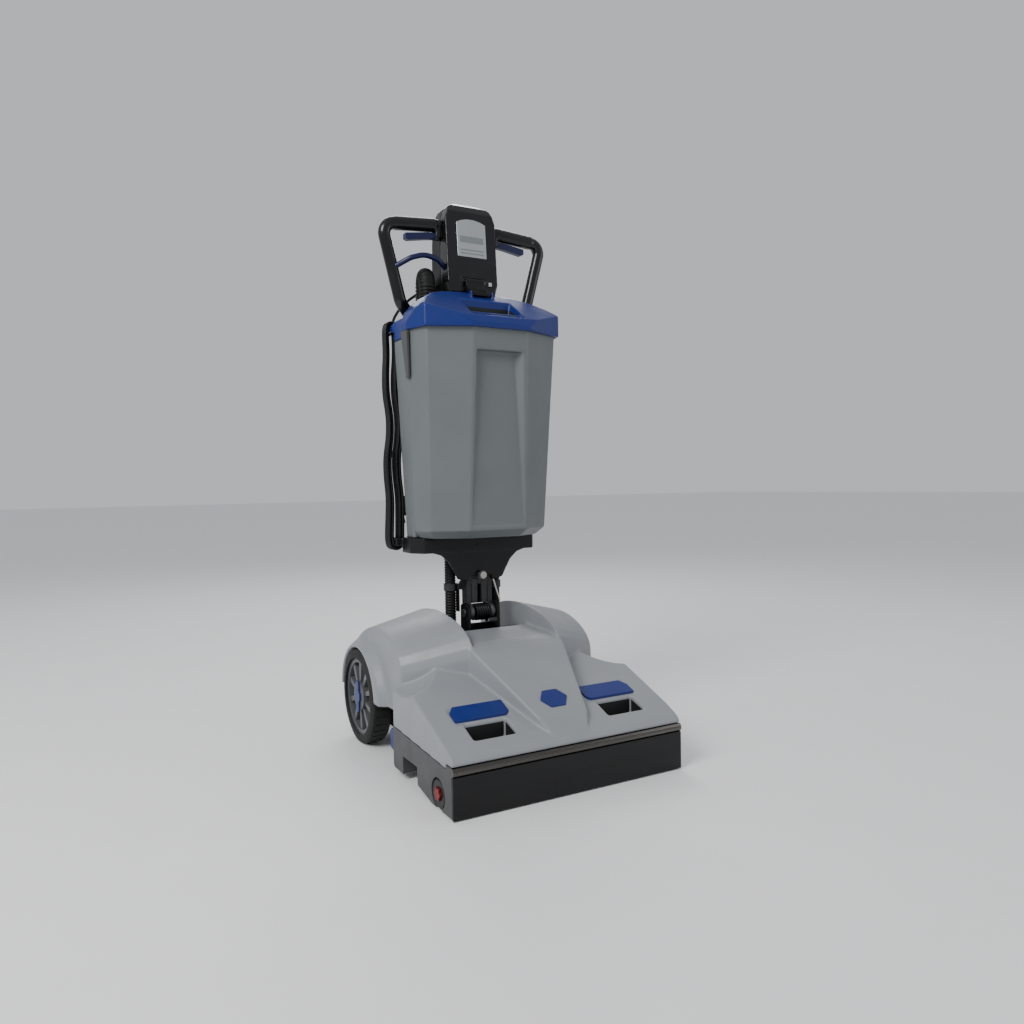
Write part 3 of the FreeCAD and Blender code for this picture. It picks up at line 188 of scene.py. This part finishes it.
FINISHES = {
    "hood_grey": dict(colour=(0.235, 0.247, 0.262), rough=0.4, spread=0.05, bump=0.12, dust=0.06,
                      scratch=0.05),
    "base_grey": dict(colour=(0.055, 0.056, 0.058), rough=0.5, bump=0.2, dust=0.12, scratch=0.08),
    "tank_grey": dict(colour=(0.118, 0.131, 0.133), rough=0.42, spread=0.06, bump=0.12, dust=0.04,
                      scratch=0.04),
    "blue": dict(colour=(0.0016, 0.014, 0.135), rough=0.38, spread=0.1, bump=0.08, dust=0.02,
                 scratch=0.02),
    # the blue made darker: painted shade for the blue hose arc and triggers
    "blue_painted_shade": dict(colour=(0.0012, 0.0045, 0.045), rough=0.4, spread=0.12, bump=0.08, scratch=0.02),
    "black_plastic": dict(colour=(0.0055, 0.0055, 0.006), rough=0.36, spread=0.25, bump=0.2, dust=0.01,
                          scratch=0.02),
    "black_gloss_plastic": dict(colour=(0.005, 0.005, 0.0055), rough=0.24, spread=0.25, bump=0.06,
                                scratch=0.01, coat=0.25),
    "black_rubber": dict(colour=(0.006, 0.006, 0.006), rough=0.5, spread=0.3, bump=0.3, dust=0.02),
    "bumper_rubber": dict(colour=(0.006, 0.006, 0.0065), rough=0.42, spread=0.35, bump=0.35, grain=400,
                          scratch=0.10, stretch=(0.25, 1, 2.5)),
    "tyre_rubber": dict(colour=(0.014, 0.014, 0.014), rough=0.7, spread=0.4, bump=0.4, grain=600,
                        dust=0.1),
    "rim_grey": dict(colour=(0.085, 0.09, 0.095), rough=0.38, spread=0.25, bump=0.15, scratch=0.2,
                     dust=0.06),
    "bright_steel": dict(colour=(0.42, 0.40, 0.37), rough=0.2, metal=1.0, spread=0.15, bump=0.2,
                         scratch=0.2, stretch=(0.1, 2, 2)),
    "dark_steel": dict(colour=(0.10, 0.095, 0.088), rough=0.2, metal=1.0, spread=0.3, bump=0.25,
                       scratch=0.3, stretch=(0.1, 2, 2)),
    "black_steel": dict(colour=(0.008, 0.008, 0.009), rough=0.34, metal=0.2, spread=0.3, bump=0.15,
                        scratch=0.06),
    "link_grey": dict(colour=(0.03, 0.03, 0.031), rough=0.36, metal=0.4, spread=0.3, bump=0.15,
                      scratch=0.15),
    "roller_grey": dict(colour=(0.09, 0.09, 0.092), rough=0.36, metal=0.5, spread=0.2, bump=0.1,
                        scratch=0.15),
    "red": dict(colour=(0.17, 0.005, 0.006), rough=0.4, bump=0.1, dust=0.04, scratch=0.05),
    "bristle": dict(colour=(0.012, 0.018, 0.04), rough=0.6, spread=0.5, bump=0.3, dust=0.1),
    "motor": dict(colour=(0.05, 0.05, 0.055), rough=0.45, metal=0.4, bump=0.15, dust=0.1),
    "silver_label": dict(colour=(0.34, 0.355, 0.355), rough=0.3, metal=0.4, spread=0.08, bump=0.06,
                         scratch=0.08),
    "label_ink": dict(colour=(0.16, 0.18, 0.18), rough=0.4, spread=0.08, bump=0.03),
    "gloss_black": dict(colour=(0.003, 0.003, 0.0035), rough=0.12, spread=0.2, bump=0.02, coat=0.5),
    # painted shade: dark finish of the linings inside the hand recesses and the lid's hollow
    "hollow_painted_shade": dict(colour=(0.012, 0.014, 0.014), rough=0.6, spread=0.4, bump=0.2, dust=0.1),
    "white": dict(colour=(0.42, 0.41, 0.38), rough=0.45, spread=0.05, bump=0.08, dust=0.05),
    "cable": dict(colour=(0.0055, 0.0055, 0.006), rough=0.42, spread=0.3, bump=0.25, grain=1500,
                  dust=0.01),
}
MATERIALS = {name: finish_of(name, **settings) for name, settings in FINISHES.items()}


def paint(piece, name):
    piece.data.materials.clear()
    piece.data.materials.append(MATERIALS[name])
    return piece


slot_of = {entry["node"]: entry["material_slot"] for entry in frame["record"]["subparts"]}
# Nodes whose finish differs from their material slot's. The hose arc and the triggers get the darker blue,
# which is painted shade.
NODE_PAINT = {"neck_link": "link_grey", "bumper_flap": "bumper_rubber", "mains_cord": "cable",
              "cord_hank": "cable", "bumper_strip": "dark_steel", "hose_arc": "blue_painted_shade", "trigger_left": "blue_painted_shade",
              "trigger_right": "blue_painted_shade", "handle_left": "black_gloss_plastic",
              "handle_right": "black_gloss_plastic", "head_front": "black_gloss_plastic"}
for node, piece in frame["nodes"].items():
    paint(piece, NODE_PAINT.get(node, slot_of[node]))


# ---------------------------------------------------------------- edges of the CAD pieces
def smooth_shading(piece):
    modifier(piece, "WEIGHTED_NORMAL", keep_sharp=True)
    piece.data.polygons.foreach_set("use_smooth", [True] * len(piece.data.polygons))


def bevelled(node, width, segments=2):
    """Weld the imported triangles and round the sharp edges."""
    piece = frame["nodes"][node]
    modifier(piece, "WELD", merge_threshold=0.00002)
    modifier(piece, "BEVEL", width=width, segments=segments, limit_method="ANGLE",
             angle_limit=math.radians(32), miter_outer="MITER_ARC", use_clamp_overlap=True)
    smooth_shading(piece)
    return piece


def moulded(node, voxel, rounds, factor=0.6):
    """Moulded plastic with generous soft corners: rebuild the skin evenly, then relax it."""
    piece = frame["nodes"][node]
    modifier(piece, "WELD", merge_threshold=0.00002)
    modifier(piece, "REMESH", mode="VOXEL", voxel_size=voxel, use_smooth_shade=True)
    modifier(piece, "SMOOTH", factor=factor, iterations=rounds)
    return piece


# Voxel size and smoothing rounds of each moulded piece.
MOULDED = {"hood": (0.0022, 12), "recovery_tank": (0.0022, 5), "solution_tank": (0.0028, 8),
           "tank_lid": (0.0018, 9), "solution_lid": (0.0022, 6), "head_front": (0.0015, 8),
           "head_rear": (0.0018, 8), "handle_left": (0.0016, 10), "handle_right": (0.0016, 10),
           "tray_yoke": (0.0018, 6), "trigger_left": (0.0010, 5), "trigger_right": (0.0010, 5),
           "lid_latch": (0.0010, 5)}
for node, (voxel, rounds) in MOULDED.items():
    moulded(node, voxel, rounds)
REMADE = {"brush_front_bristles", "brush_rear_bristles", "hoses_lower", "hoses_upper", "suction_hose",
          "mains_cord", "cord_hank"}
for node in frame["nodes"]:
    if node not in MOULDED and node not in REMADE:
        low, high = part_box(node)
        smallest = min(b - a for a, b in zip(low, high))
        bevelled(node, min(0.0012, smallest * 0.12))


# ---------------------------------------------------------------- swept tubes with ribs
def frames_along(points):
    """Points with tangents and a steady side direction, for sweeping a ring."""
    tangents = [(b - a).normalized() for a, b in zip(points, points[1:])]
    tangents.append(tangents[-1])
    side = tangents[0].orthogonal().normalized()
    rings = []
    for point, tangent in zip(points, tangents):
        side = (side - tangent * side.dot(tangent)).normalized()
        rings.append((point, side, tangent.cross(side)))
    return rings


def evenly(route, step):
    """Points at an even spacing along a polyline."""
    out = [route[0].copy()]
    left = step
    for a, b in zip(route, route[1:]):
        length = (b - a).length
        at = left
        while at <= length:
            out.append(a.lerp(b, at / length))
            at += step
        left = at - length
    return out


def rounded_route(corners, bends, steps=14):
    """Straight runs joined by tangent arcs."""
    corners = [Vector(corner) for corner in corners]
    route = [corners[0]]
    for before, corner, after, bend in zip(corners, corners[1:], corners[2:], bends):
        back, on = (before - corner).normalized(), (after - corner).normalized()
        half = back.angle(on) / 2
        middle = corner + (back + on).normalized() * bend / math.sin(half)
        first = corner + back * bend / math.tan(half) - middle
        last = corner + on * bend / math.tan(half) - middle
        turn = first.rotation_difference(last)
        route += [middle + Quaternion().slerp(turn, i / steps) @ first for i in range(steps + 1)]
    return route + [corners[-1]]


def ribbed_hose(name, route, radius, pitch, depth, around=28, per_rib=6):
    """Corrugated hose: a ring swept along the route whose radius rises and falls once every pitch."""
    points = evenly(route, pitch / per_rib)
    verts = []
    faces = []
    rings = frames_along(points)
    for index, (point, side, other) in enumerate(rings):
        wave = 0.5 + 0.5 * math.cos(2 * math.pi * index / per_rib)
        reach = radius - depth * (1 - wave ** 0.6)
        for turn in range(around):
            angle = 2 * math.pi * turn / around
            verts.append(point + (side * math.cos(angle) + other * math.sin(angle)) * reach)
    for index in range(len(rings) - 1):
        for turn in range(around):
            following = (turn + 1) % around
            faces.append((index * around + turn, index * around + following,
                          (index + 1) * around + following, (index + 1) * around + turn))
    faces.append(tuple(reversed(range(around))))
    faces.append(tuple(range((len(rings) - 1) * around, len(rings) * around)))
    return paint(mesh_from(name, verts, faces), "black_rubber")


def ring_band(name, middle, radius, height, thick, material, body):
    """Clamp or collar round a hose, standing on its axis along Z."""
    wide, half = radius + thick, height / 2
    profile = [(radius, -half), (wide, -half), (wide, half), (radius, half)]
    around = 40
    angles = [2 * math.pi * i / around for i in range(around)]
    verts = [(middle[0] + r * math.cos(angle), middle[1] + r * math.sin(angle), middle[2] + z)
             for angle in angles for r, z in profile]
    faces = [(i * 4 + k, (i + 1) % around * 4 + k, (i + 1) % around * 4 + (k + 1) % 4, i * 4 + (k + 1) % 4)
             for i in range(around) for k in range(4)]
    piece = paint(mesh_from(name, verts, faces, smooth=False), material)
    modifier(piece, "BEVEL", width=thick * 0.3, segments=2)
    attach(piece, body)
    return piece


# Neck hoses: one pair at the tilt, the other at the lean.
lower_low, lower_high = (Vector(corner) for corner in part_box("hoses_lower"))
upper_low, upper_high = (Vector(corner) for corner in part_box("hoses_upper"))
HOSE_RADIUS = (lower_high.y - lower_low.y) / 2
hose_y = (lower_low.y + lower_high.y) / 2
HOSE_SHOWN_FROM = 0.20
HOSE_PITCH, HOSE_RIB = 0.0062, 0.0022
for side, label in ((-1, "left"), (1, "right")):
    hose_x = side * (lower_high.x - HOSE_RADIUS)
    lower_run = [Vector((hose_x, hose_y, HOSE_SHOWN_FROM)), Vector((hose_x, hose_y, lower_high.z))]
    lower = ribbed_hose("neck_hose_lower_" + label, lower_run, HOSE_RADIUS, HOSE_PITCH, HOSE_RIB)
    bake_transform(lower)
    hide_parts("hoses_lower")
    upper_run = [Vector((hose_x, hose_y, upper_low.z)), Vector((hose_x, hose_y, upper_high.z))]
    upper = ribbed_hose("neck_hose_upper_" + label, upper_run, HOSE_RADIUS, HOSE_PITCH, HOSE_RIB)
    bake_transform(upper)
    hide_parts("hoses_upper")
    ring_band("hose_clamp_" + label, (hose_x, hose_y, upper_high.z - 0.005), HOSE_RADIUS, 0.008, 0.0018,
              "link_grey", "mast")

# Suction hose: out of the rear ledge, over and down behind the tanks.
SUCTION_RADIUS = 0.019
hose_low, hose_high = (Vector(corner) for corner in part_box("suction_hose"))
port_x, drop_x = hose_low.x + SUCTION_RADIUS, hose_high.x - SUCTION_RADIUS
front_y, rear_y = hose_low.y + SUCTION_RADIUS, hose_high.y - SUCTION_RADIUS
crown_z = hose_high.z - SUCTION_RADIUS
suction_bend = math.hypot(drop_x - port_x, rear_y - front_y) / 2 * 0.998
route = rounded_route([(port_x, front_y, 1.008), (port_x, front_y, crown_z), (drop_x, rear_y, crown_z),
                       (drop_x, rear_y, hose_low.z)], [suction_bend] * 2)
suction = ribbed_hose("suction_hose_ribbed", route, SUCTION_RADIUS, 0.0075, 0.003, around=40)
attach(suction, "mast")
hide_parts("suction_hose")


# ---------------------------------------------------------------- brush tufts
PILE_ROOT = 0.0178


def tufts(label, rows=18, columns=58):
    """Pile of the cylindrical brush: short tapered tufts in chevron rows round the core."""
    node = f"brush_{label}_bristles"
    low, high = (Vector(corner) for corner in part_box(node))
    axis_y, axis_z = (low.y + high.y) / 2, (low.z + high.z) / 2
    outer = (high.y - low.y) / 2
    verts, faces = [], []
    for row in range(rows):
        for column in range(columns):
            share = (column + 0.5) / columns
            x = low.x + 0.004 + (high.x - low.x - 0.008) * share
            chevron = abs(share - 0.5) * 1.1
            angle = 2 * math.pi * (row / rows) + chevron + random.uniform(-0.03, 0.03)
            out = Vector((0, math.cos(angle), math.sin(angle)))
            along = Vector((0, -math.sin(angle), math.cos(angle)))
            root = Vector((x, axis_y, axis_z)) + out * PILE_ROOT
            tip = Vector((x, axis_y, axis_z)) + out * (outer - random.uniform(0.0001, 0.0012))
            start = len(verts)
            for base, wide in ((root, 0.0018), (tip, 0.0034)):
                for corner in range(5):
                    turn = 2 * math.pi * corner / 5
                    verts.append(base + Vector((math.cos(turn) * wide, 0, 0)) + along * math.sin(turn) * wide)
            faces += [(start + c, start + (c + 1) % 5, start + 5 + (c + 1) % 5, start + 5 + c)
                      for c in range(5)]
            faces.append(tuple(start + 5 + c for c in range(5)))
    piece = paint(mesh_from(f"brush_tufts_{label}", verts, faces, smooth=False), "bristle")
    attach(piece, f"brush_{label}")
    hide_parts(node)


tufts("front")
tufts("rear")

# ---------------------------------------------------------------- mains lead on its two pegs
CABLE = 0.007
peg_x = -0.170
peg_top, peg_low = 0.954, 0.466
TURNS = 8
LAYER_SPACING, ROW_SPACING = CABLE + 0.0001, 0.0073
INNER_RADIUS = 0.0096
REAR_ROW = 0.1830
LEAD = [(-0.036, 0.206, 1.080), (-0.042, 0.240, 1.078), (-0.072, 0.258, 1.062), (-0.110, 0.254, 1.030),
        (-0.140, 0.234, 0.992), (-0.1535, 0.208, 0.956), (-0.1536, 0.188, 0.925)]
TAIL_FROM_Z = 0.640
TAIL = [(-0.1790, 0.1885, 0.655), (-0.1765, 0.199, 0.678), (-0.1685, 0.210, 0.690), (-0.157, 0.217, 0.680),
        (-0.1465, 0.220, 0.648), (-0.138, 0.218, 0.598), (-0.133, 0.214, 0.570)]


def slack(share):
    """Sideways and fore-and-aft sway of the hank's long runs, nil at both pegs."""
    swell = math.sin(math.pi * share)
    sideways = 0.0055 * swell * math.sin(5.2 * math.pi * share + 0.6)
    fore_and_aft = -0.0035 * swell * (1 + math.cos(4 * math.pi * share)) / 2
    return sideways, fore_and_aft


def hank_points():
    """Turns round both pegs: half in the outer layer going forward, half in the inner layer coming back."""
    points = []
    shares = [0.02 + 0.96 * index / 10 for index in range(11)]
    for turn in range(TURNS):
        outer = turn < TURNS / 2
        radius = INNER_RADIUS + (LAYER_SPACING if outer else 0)
        row = turn if outer else TURNS - 1 - turn
        step = 0 if turn in (TURNS // 2 - 1, TURNS - 1) else (1 if outer else -1)
        for share in shares:
            pinch = 0.0022 * math.sin(math.pi * share)
            sway_x, sway_y = slack(share)
            points.append((peg_x + radius - pinch + sway_x, REAR_ROW - row * ROW_SPACING + sway_y,
                           peg_top + (peg_low - peg_top) * share))
        for index in range(1, 6):
            angle = math.pi * index / 6
            points.append((peg_x + radius * math.cos(angle), REAR_ROW - row * ROW_SPACING,
                           peg_low - radius * math.sin(angle)))
        for share in shares:
            pinch = 0.0022 * math.sin(math.pi * share)
            sway_x, sway_y = slack(1 - share)
            points.append((peg_x - radius + pinch + sway_x,
                           REAR_ROW - (row + step * share) * ROW_SPACING + sway_y,
                           peg_low + (peg_top - peg_low) * share))
        if turn == TURNS - 1:
            last_run = points[-len(shares):]
            return points[1:-len(shares)] + [point for point in last_run if point[2] < TAIL_FROM_Z]
        for index in range(1, 6):
            angle = math.pi * index / 6
            points.append((peg_x - radius * math.cos(angle), REAR_ROW - (row + step) * ROW_SPACING,
                           peg_top + radius * math.sin(angle)))


whole = LEAD + hank_points() + TAIL
curve = bpy.data.curves.new("mains_lead", "CURVE")
curve.dimensions = "3D"
curve.bevel_depth = CABLE / 2
curve.bevel_resolution = 5
curve.resolution_u = 8
spline = curve.splines.new("NURBS")
spline.points.add(len(whole) - 1)
for control, place in zip(spline.points, whole):
    control.co = (*place, 1)
spline.order_u = 3
spline.use_endpoint_u = True
mains_lead = add("mains_lead", curve)
curve.materials.append(MATERIALS["cable"])
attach(mains_lead, "mast")
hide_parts("mains_cord", "cord_hank")



# ---------------------------------------------------------------- small trim
def prism(name, outline, bottom, top, material, body, edge=0.0006):
    """Upright prism over an outline of (x, y), with soft edges."""
    count = len(outline)
    points = [(x, y, bottom) for x, y in outline] + [(x, y, top) for x, y in outline]
    faces = [tuple(reversed(range(count))), tuple(range(count, 2 * count))]
    faces += [(i, (i + 1) % count, (i + 1) % count + count, i + count) for i in range(count)]
    piece = paint(mesh_from(name, points, faces, smooth=False), material)
    modifier(piece, "BEVEL", width=edge, segments=2, limit_method="ANGLE")
    smooth_shading(piece)
    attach(piece, body)
    return piece


def disc(name, middle, axis, radius, depth, material, body, edge=0.0005, around=40):
    """Short cylinder centred on a point, along an axis, with soft edges."""
    axis = Vector(axis).normalized()
    side = axis.orthogonal().normalized()
    other = axis.cross(side)
    points = []
    for step in (-depth / 2, depth / 2):
        for index in range(around):
            angle = 2 * math.pi * index / around
            spoke = side * math.cos(angle) + other * math.sin(angle)
            points.append(Vector(middle) + axis * step + spoke * radius)
    faces = [tuple(reversed(range(around))), tuple(range(around, 2 * around))]
    faces += [(i, (i + 1) % around, (i + 1) % around + around, i + around) for i in range(around)]
    piece = paint(mesh_from(name, points, faces, smooth=False), material)
    modifier(piece, "BEVEL", width=edge, segments=2, limit_method="ANGLE", angle_limit=math.radians(40))
    smooth_shading(piece)
    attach(piece, body)
    return piece


# Painted shade in the two hand recesses: a dark open box just inside each hollow stands in for the shade
# there.
RECESS_X, RECESS_HALF, RECESS_FRONT, RECESS_REAR, RECESS_FLOOR = 0.1517, 0.0448, -0.2817, -0.2362, 0.104
RIM_FRONT, RIM_REAR = 0.1215, 0.137
WALL, PAINTED_SHADE_GAP = 0.0006, 0.0002
PAINTED_SHADE_FLOOR = RECESS_FLOOR + 0.0005
for side, label in ((-1, "left"), (1, "right")):
    low_x, high_x = side * RECESS_X - RECESS_HALF + PAINTED_SHADE_GAP, side * RECESS_X + RECESS_HALF - PAINTED_SHADE_GAP
    low_y, high_y = RECESS_FRONT + PAINTED_SHADE_GAP, RECESS_REAR - PAINTED_SHADE_GAP
    points = []
    for inset, z_front, z_rear in ((0, RIM_FRONT, RIM_REAR), (0, PAINTED_SHADE_FLOOR, PAINTED_SHADE_FLOOR),
                                   (WALL, PAINTED_SHADE_FLOOR + WALL, PAINTED_SHADE_FLOOR + WALL),
                                   (WALL, RIM_FRONT, RIM_REAR)):
        points += [(low_x + inset, low_y + inset, z_front), (high_x - inset, low_y + inset, z_front),
                   (high_x - inset, high_y - inset, z_rear), (low_x + inset, high_y - inset, z_rear)]
    faces = [(7, 6, 5, 4), (8, 9, 10, 11)]
    for ring in (0, 2):
        for i in range(4):
            onward = (i + 1) % 4
            faces.append((ring * 4 + 4 + i, ring * 4 + 4 + onward, ring * 4 + onward, ring * 4 + i))
    faces += [(i, (i + 1) % 4, 12 + (i + 1) % 4, 12 + i) for i in range(4)]
    painted_shade_box = paint(mesh_from("recess_painted_shade_" + label, points, faces, smooth=False), "hollow_painted_shade")
    modifier(painted_shade_box, "BEVEL", width=0.00012, segments=1)
    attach(painted_shade_box, "chassis")

# Roller faces and shaft washers at the tilt pivot, and a washer at the lean bolt.
TILT_Y, TILT_Z, LEAN_Y, LEAN_Z = 0.075, 0.300, 0.093, 0.387
for side, label in ((-1, "left"), (1, "right")):
    disc("roller_face_" + label, (side * 0.0268, TILT_Y, TILT_Z), (1, 0, 0), 0.01745, 0.0085, "roller_grey",
         "neck", 0.0012)
    disc("shaft_washer_" + label, (side * 0.0413, TILT_Y, TILT_Z), (1, 0, 0), 0.0092, 0.0022, "roller_grey",
         "chassis")
disc("lean_washer", (0, LEAN_Y - 0.0345, LEAN_Z), (0, 1, 0), 0.0105, 0.0012, "roller_grey", "neck")

# Dark web that closes the foot of the neck between its two cheeks.
prism("neck_foot_web", [(-0.0338, 0.086), (0.0338, 0.086), (0.0338, 0.092), (-0.0338, 0.092)], 0.056, 0.272,
      "black_steel", "chassis")
for side, label in ((-1, "left"), (1, "right")):
    prism("hose_guard_" + label, [(side * 0.0405, 0.098), (side * 0.0443, 0.098), (side * 0.0443, 0.112),
                                  (side * 0.0405, 0.112)][::side], 0.300, 0.3508, "black_steel", "neck")
prism("lamp_lens", [(0.039, 0.0773), (0.047, 0.0773), (0.047, 0.0786), (0.039, 0.0786)], 1.0555, 1.0645,
      "white", "mast")

# Painted shade in the lid's hand hollow: a dark lining just inside its walls and under the lid's sloping skin
# stands in for the shade there.
HOLLOW_LOW, HOLLOW_FRONT_TOP, HOLLOW_REAR_TOP = 0.9484, 0.9585, 0.992
HOLLOW_FLOOR, HOLLOW_DEPTH, HOLLOW_SPREAD = 0.948, 0.082, 0.2
NEAR, FAR = 0.0003, 0.0007
points = []
for inset, z_front, z_rear in ((NEAR, HOLLOW_LOW, HOLLOW_LOW), (NEAR, HOLLOW_FRONT_TOP, HOLLOW_REAR_TOP),
                               (FAR, HOLLOW_FRONT_TOP, HOLLOW_REAR_TOP),
                               (FAR, HOLLOW_LOW + NEAR, HOLLOW_LOW + NEAR)):
    for x, y, z in ((-0.062, -0.046, z_front), (0.062, -0.046, z_front), (0.056, 0.026, z_rear),
                    (-0.056, 0.026, z_rear)):
        spread = 1 + HOLLOW_SPREAD * (z - HOLLOW_FLOOR) / HOLLOW_DEPTH
        points.append((x * spread - math.copysign(inset, x), y - math.copysign(inset, y), z))
faces = [(3, 2, 1, 0), (12, 13, 14, 15)]
faces += [(r * 4 + i, r * 4 + (i + 1) % 4, r * 4 + 4 + (i + 1) % 4, r * 4 + 4 + i)
          for r in range(3) for i in range(4)]
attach(paint(mesh_from("lid_hollow_painted_shade", points, faces, smooth=False), "hollow_painted_shade"), "lid")

# Control cables beside the neck: they leave the hood, pass the pivot and end under the tray.
CABLE_LOW, CABLE_SPLIT, CABLE_HIGH = 0.21, 0.345, 0.4415
THIN_CABLE = (0.0036, 0.004, 0.0003)
for index, (x, y) in enumerate(((-0.0455, 0.128), (-0.0455, 0.137), (0.0455, 0.130))):
    lower_run = [Vector((x, y, CABLE_LOW)), Vector((x, y, CABLE_SPLIT))]
    lower_cable = ribbed_hose(f"neck_cable_low_{index}", lower_run, *THIN_CABLE)
    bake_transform(lower_cable)
    upper_run = [Vector((x, y, CABLE_SPLIT)), Vector((x, y, CABLE_HIGH))]
    upper_cable = ribbed_hose(f"neck_cable_high_{index}", upper_run, *THIN_CABLE)
    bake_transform(upper_cable)

# Blank bands on the label plate, which leans back with the head's front face.
HEAD_FOOT_Y, HEAD_FOOT_Z, HEAD_LEAN = 0.0775, 1.036, math.atan2(0.0135, 0.186)
BAND_HALF = 0.030
for index, heights in enumerate(((1.1515, 1.1665), (1.1335, 1.1365), (1.1255, 1.1285))):
    points = []
    for z in heights:
        y = HEAD_FOOT_Y - 0.0015 + (z - HEAD_FOOT_Z) * math.tan(HEAD_LEAN)
        points += [(-BAND_HALF, y - 0.0002, z), (BAND_HALF, y - 0.0002, z), (BAND_HALF, y + 0.0004, z),
                   (-BAND_HALF, y + 0.0004, z)]
    faces = [(3, 2, 1, 0), (4, 5, 6, 7)] + [(i, (i + 1) % 4, (i + 1) % 4 + 4, i + 4) for i in range(4)]
    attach(paint(mesh_from(f"label_band_{index}", points, faces, smooth=False), "label_ink"), "mast")

# Screws: tray front and head back.
SCREWS = [("tray_a", (-0.006, 0.0668, 0.457)), ("head_a", (-0.045, 0.1722, 1.06)),
          ("head_b", (0.045, 0.1722, 1.06))]
for name, middle in SCREWS:
    disc("screw_" + name, middle, (0, 1, 0), 0.0042, 0.0016, "black_steel", "mast")

# ---------------------------------------------------------------- floor and light
floor = mesh_from("floor", [(-30, -30, 0), (30, -30, 0), (30, 30, 0), (-30, 30, 0)], [(0, 1, 2, 3)])
floor_material = finish_of("floor_white", (0.83, 0.83, 0.83), 0.6, spread=0.01, bump=0.0, grain=50)
floor.data.materials.append(floor_material)

world = bpy.data.worlds.new("studio")
scene.world = world
world.use_nodes = True
world.node_tree.nodes["Background"].inputs["Color"].default_value = (0.93, 0.95, 1.0, 1)
world.node_tree.nodes["Background"].inputs["Strength"].default_value = 0.62


def lamp(name, place, aim, size, power):
    light = bpy.data.lights.new(name, "AREA")
    light.size = size
    light.energy = power
    holder = bpy.data.objects.new(name, light)
    holder.location = place
    holder.rotation_euler = (Vector(aim) - Vector(place)).to_track_quat("-Z", "Y").to_euler()
    scene.collection.objects.link(holder)


lamp("key", (-2.6, -1.2, 2.6), (0, 0, 0.5), 1.4, 100)
lamp("fill", (2.8, -2.0, 1.4), (0, 0, 0.5), 1.5, 14)
lamp("back", (1.0, 2.6, 2.8), (0, 0, 0.6), 1.6, 40)
